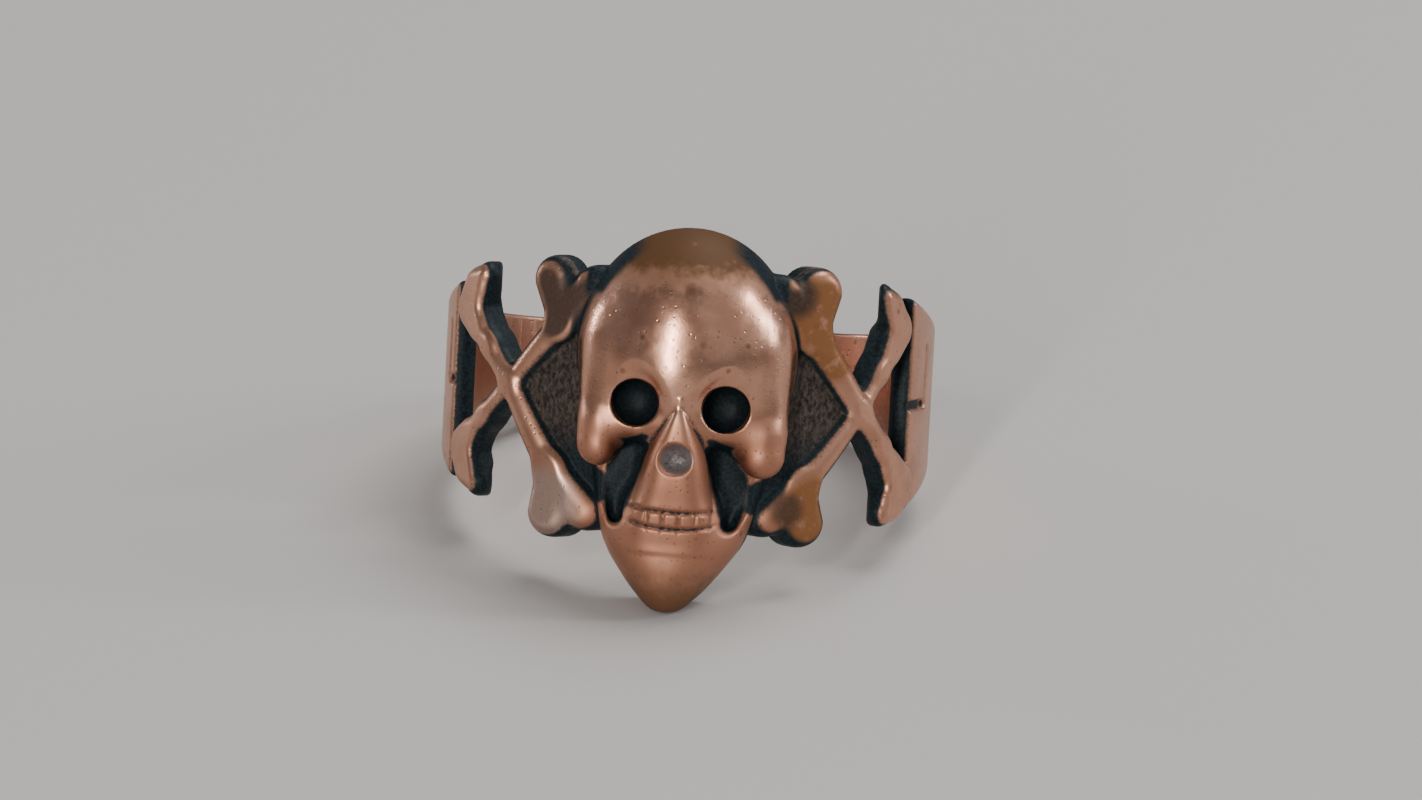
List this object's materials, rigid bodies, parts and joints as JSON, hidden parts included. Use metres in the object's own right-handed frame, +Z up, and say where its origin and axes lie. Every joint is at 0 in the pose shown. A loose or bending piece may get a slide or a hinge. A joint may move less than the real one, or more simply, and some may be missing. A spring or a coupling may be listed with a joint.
{
  "type": "skull ring",
  "caption": "Antique copper finger ring with a raised skull in front and a pair of crossed bones on each side, pierced between the bone ends.",
  "frame": {"origin": "middle of the base of the bounding box, on the surface the ring lies on", "axes": "+X to the right as the skull is faced, +Y from the skull to the back of the band, +Z up; the ring leans back from +Z as it lies on its chin and the back of its band"},
  "size_m": [0.022, 0.0256, 0.0156],
  "materials": {
    "antique_copper": "antique copper, satin on the high spots and blackened in the recesses"
  },
  "bodies": {
    "root": {"skull_ring": "antique_copper"}
  },
  "joints": []
}
